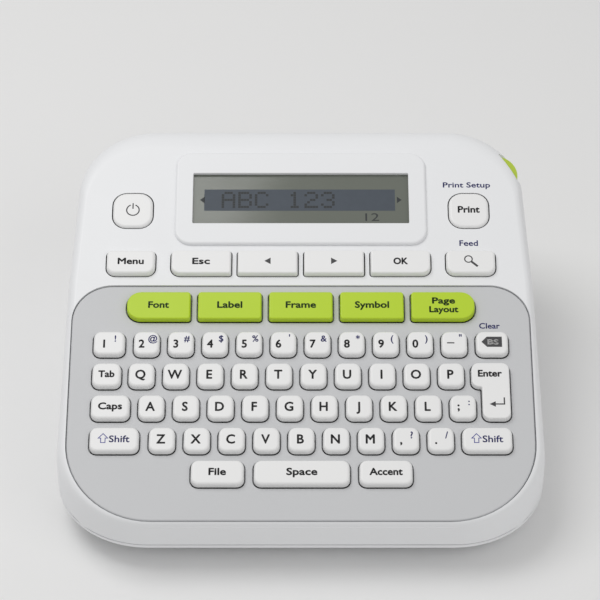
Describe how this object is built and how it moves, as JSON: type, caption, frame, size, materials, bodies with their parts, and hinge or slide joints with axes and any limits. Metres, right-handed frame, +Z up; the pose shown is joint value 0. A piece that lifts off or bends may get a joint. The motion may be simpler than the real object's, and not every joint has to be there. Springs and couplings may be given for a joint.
{
  "type": "label maker",
  "caption": "Desktop label maker with a sloping letter keyboard, a display, a tape cassette bay and a side lever that cuts the printed tape.",
  "frame": {"origin": "middle of the footprint, on the table under the rubber feet", "axes": "+X to the user's right, +Y away from the user, +Z up"},
  "size_m": [0.157, 0.149, 0.0659],
  "materials": {
    "housing_white": "fine satin texture",
    "panel_grey": "fine satin texture",
    "key_white": "satin",
    "key_green": "satin",
    "lever_green": "satin",
    "window_clear": "polished",
    "display_grey": "semi-gloss",
    "board_green": "semi-gloss",
    "silicone": "matte",
    "inner_plastic": "satin",
    "steel": "brushed",
    "case_plastic": "satin",
    "tape_white": "satin",
    "ribbon_black": "satin",
    "head_ceramic": "glossy",
    "heat_sink": "satin",
    "roller_rubber": "matte",
    "gear_plastic": "satin",
    "pinion_brass": "satin",
    "cell_wrap": "glossy",
    "black_plastic": "satin",
    "foot_rubber": "matte"
  },
  "bodies": {
    "housing": {"upper_housing": "housing_white", "lower_housing": "housing_white", "keypad_panel": "panel_grey", "display_frame": "housing_white", "display_window": "window_clear", "display_module": "display_grey", "main_board": "board_green", "keypad_mat": "silicone", "bay_frame": "inner_plastic", "chassis_plate": "steel", "cassette_case": "case_plastic", "label_tape": "tape_white", "print_head": "head_ceramic", "head_heat_sink": "heat_sink", "drive_motor": "steel", "fixed_blade": "steel", "lever_spring": "steel", "battery_cells": "cell_wrap", "battery_contacts": "steel", "power_inlet": "black_plastic", "housing_screws": "steel", "rubber_feet": "foot_rubber"},
    "back_cover": {"back_cover": "housing_white"},
    "cutter_lever": {"cutter_lever": "lever_green"},
    "cutter_blade": {"cutter_blade": "steel"},
    "roller_holder": {"roller_holder": "inner_plastic"},
    "platen": {"platen_roller": "roller_rubber", "platen_gear": "gear_plastic"},
    "idler": {"idler_gear": "gear_plastic"},
    "pinion": {"motor_pinion": "pinion_brass"},
    "ribbon_drive": {"ribbon_drive_gear": "gear_plastic", "ribbon_take_up_spool": "ribbon_black"},
    "ribbon_supply": {"ribbon_supply_spool": "ribbon_black"},
    "tape_roll": {"tape_roll": "tape_white"},
    "power_key": {"power_key": "key_white"},
    "print_key": {"print_key": "key_white"},
    "menu_key": {"menu_key": "key_white"},
    "escape_key": {"escape_key": "key_white"},
    "left_key": {"left_key": "key_white"},
    "right_key": {"right_key": "key_white"},
    "ok_key": {"ok_key": "key_white"},
    "search_key": {"search_key": "key_white"},
    "font_key": {"font_key": "key_green"},
    "label_key": {"label_key": "key_green"},
    "frame_key": {"frame_key": "key_green"},
    "symbol_key": {"symbol_key": "key_green"},
    "template_key": {"template_key": "key_green"},
    "backspace_key": {"backspace_key": "key_white"},
    "tab_key": {"tab_key": "key_white"},
    "enter_key": {"enter_key": "key_white"},
    "caps_key": {"caps_key": "key_white"},
    "left_shift_key": {"left_shift_key": "key_white"},
    "right_shift_key": {"right_shift_key": "key_white"},
    "file_key": {"file_key": "key_white"},
    "space_key": {"space_key": "key_white"},
    "accent_key": {"accent_key": "key_white"},
    "number_keys": {"number_keys": "key_white"},
    "top_letter_keys": {"top_letter_keys": "key_white"},
    "home_letter_keys": {"home_letter_keys": "key_white"},
    "bottom_letter_keys": {"bottom_letter_keys": "key_white"}
  },
  "joints": [
    {"name": "press_power_key", "type": "slide", "parent": "housing", "child": "power_key", "axis": [0, 0.3173, -0.9483], "range_m": [0, 0.001], "stiffness_N_per_m": 400},
    {"name": "press_print_key", "type": "slide", "parent": "housing", "child": "print_key", "axis": [0, 0.3173, -0.9483], "range_m": [0, 0.001], "stiffness_N_per_m": 400},
    {"name": "press_menu_key", "type": "slide", "parent": "housing", "child": "menu_key", "axis": [0, 0.3173, -0.9483], "range_m": [0, 0.001], "stiffness_N_per_m": 400},
    {"name": "press_escape_key", "type": "slide", "parent": "housing", "child": "escape_key", "axis": [0, 0.3173, -0.9483], "range_m": [0, 0.001], "stiffness_N_per_m": 400},
    {"name": "press_left_key", "type": "slide", "parent": "housing", "child": "left_key", "axis": [0, 0.3173, -0.9483], "range_m": [0, 0.001], "stiffness_N_per_m": 400},
    {"name": "press_right_key", "type": "slide", "parent": "housing", "child": "right_key", "axis": [0, 0.3173, -0.9483], "range_m": [0, 0.001], "stiffness_N_per_m": 400},
    {"name": "press_ok_key", "type": "slide", "parent": "housing", "child": "ok_key", "axis": [0, 0.3173, -0.9483], "range_m": [0, 0.001], "stiffness_N_per_m": 400},
    {"name": "press_search_key", "type": "slide", "parent": "housing", "child": "search_key", "axis": [0, 0.3173, -0.9483], "range_m": [0, 0.001], "stiffness_N_per_m": 400},
    {"name": "press_font_key", "type": "slide", "parent": "housing", "child": "font_key", "axis": [0, 0.3173, -0.9483], "range_m": [0, 0.001], "stiffness_N_per_m": 400},
    {"name": "press_label_key", "type": "slide", "parent": "housing", "child": "label_key", "axis": [0, 0.3173, -0.9483], "range_m": [0, 0.001], "stiffness_N_per_m": 400},
    {"name": "press_frame_key", "type": "slide", "parent": "housing", "child": "frame_key", "axis": [0, 0.3173, -0.9483], "range_m": [0, 0.001], "stiffness_N_per_m": 400},
    {"name": "press_symbol_key", "type": "slide", "parent": "housing", "child": "symbol_key", "axis": [0, 0.3173, -0.9483], "range_m": [0, 0.001], "stiffness_N_per_m": 400},
    {"name": "press_template_key", "type": "slide", "parent": "housing", "child": "template_key", "axis": [0, 0.3173, -0.9483], "range_m": [0, 0.001], "stiffness_N_per_m": 400},
    {"name": "press_backspace_key", "type": "slide", "parent": "housing", "child": "backspace_key", "axis": [0, 0.3173, -0.9483], "range_m": [0, 0.001], "stiffness_N_per_m": 400},
    {"name": "press_tab_key", "type": "slide", "parent": "housing", "child": "tab_key", "axis": [0, 0.3173, -0.9483], "range_m": [0, 0.001], "stiffness_N_per_m": 400},
    {"name": "press_enter_key", "type": "slide", "parent": "housing", "child": "enter_key", "axis": [0, 0.3173, -0.9483], "range_m": [0, 0.001], "stiffness_N_per_m": 400},
    {"name": "press_caps_key", "type": "slide", "parent": "housing", "child": "caps_key", "axis": [0, 0.3173, -0.9483], "range_m": [0, 0.001], "stiffness_N_per_m": 400},
    {"name": "press_left_shift_key", "type": "slide", "parent": "housing", "child": "left_shift_key", "axis": [0, 0.3173, -0.9483], "range_m": [0, 0.001], "stiffness_N_per_m": 400},
    {"name": "press_right_shift_key", "type": "slide", "parent": "housing", "child": "right_shift_key", "axis": [0, 0.3173, -0.9483], "range_m": [0, 0.001], "stiffness_N_per_m": 400},
    {"name": "press_file_key", "type": "slide", "parent": "housing", "child": "file_key", "axis": [0, 0.3173, -0.9483], "range_m": [0, 0.001], "stiffness_N_per_m": 400},
    {"name": "press_space_key", "type": "slide", "parent": "housing", "child": "space_key", "axis": [0, 0.3173, -0.9483], "range_m": [0, 0.001], "stiffness_N_per_m": 400},
    {"name": "press_accent_key", "type": "slide", "parent": "housing", "child": "accent_key", "axis": [0, 0.3173, -0.9483], "range_m": [0, 0.001], "stiffness_N_per_m": 400},
    {"name": "press_number_keys", "type": "slide", "parent": "housing", "child": "number_keys", "axis": [0, 0.3173, -0.9483], "range_m": [0, 0.001], "stiffness_N_per_m": 2500},
    {"name": "press_top_letter_keys", "type": "slide", "parent": "housing", "child": "top_letter_keys", "axis": [0, 0.3173, -0.9483], "range_m": [0, 0.001], "stiffness_N_per_m": 2500},
    {"name": "press_home_letter_keys", "type": "slide", "parent": "housing", "child": "home_letter_keys", "axis": [0, 0.3173, -0.9483], "range_m": [0, 0.001], "stiffness_N_per_m": 2500},
    {"name": "press_bottom_letter_keys", "type": "slide", "parent": "housing", "child": "bottom_letter_keys", "axis": [0, 0.3173, -0.9483], "range_m": [0, 0.001], "stiffness_N_per_m": 2500},
    {"name": "cover_open", "type": "hinge", "parent": "housing", "child": "back_cover", "pos_m": [0, -0.0345, 0.0024], "axis": [-1, 0, 0], "range_deg": [0, 35]},
    {"name": "holder_release", "type": "hinge", "parent": "housing", "child": "roller_holder", "pos_m": [0.0665, 0.01, 0.012], "axis": [0, 0, -1], "range_deg": [0, 1.1]},
    {"name": "lever_press", "type": "hinge", "parent": "housing", "child": "cutter_lever", "pos_m": [0.0695, 0.026, 0.035], "axis": [0, 0, 1], "range_deg": [0, 9], "stiffness_Nm_per_rad": 0.35, "springref_deg": -2.86},
    {"name": "blade_cut", "type": "slide", "parent": "housing", "child": "cutter_blade", "axis": [-1, 0, 0], "range_m": [0, 0.0057]},
    {"name": "tape_roll_spin", "type": "hinge", "parent": "housing", "child": "tape_roll", "pos_m": [0.027, 0.007, 0.0125], "axis": [0, 0, 1], "continuous": true},
    {"name": "platen_spin", "type": "hinge", "parent": "roller_holder", "child": "platen", "pos_m": [0.0648, 0.038, 0.013], "axis": [0, 0, 1], "continuous": true},
    {"name": "idler_spin", "type": "hinge", "parent": "housing", "child": "idler", "pos_m": [0.05153, 0.04729, 0.0267], "axis": [0, 0, 1], "continuous": true},
    {"name": "pinion_spin", "type": "hinge", "parent": "housing", "child": "pinion", "pos_m": [0.03812, 0.05355, 0.0267], "axis": [0, 0, 1], "continuous": true},
    {"name": "ribbon_drive_spin", "type": "hinge", "parent": "housing", "child": "ribbon_drive", "pos_m": [0.04194, 0.03253, 0.0267], "axis": [0, 0, 1], "continuous": true},
    {"name": "ribbon_supply_spin", "type": "hinge", "parent": "housing", "child": "ribbon_supply", "pos_m": [0.02, 0.042, 0.0125], "axis": [0, 0, 1], "continuous": true}
  ],
  "couplings": [
    {"joint": "holder_release", "follows": "cover_open", "ratio": 0.031429},
    {"joint": "blade_cut", "follows": "lever_press", "m_per_rad": 0.0356},
    {"joint": "platen_spin", "follows": "tape_roll_spin", "ratio": -5.25},
    {"joint": "idler_spin", "follows": "tape_roll_spin", "ratio": 2.2969},
    {"joint": "pinion_spin", "follows": "tape_roll_spin", "ratio": -7.35},
    {"joint": "ribbon_drive_spin", "follows": "tape_roll_spin", "ratio": -4.0833},
    {"joint": "ribbon_supply_spin", "follows": "tape_roll_spin", "ratio": 2.3333}
  ]
}
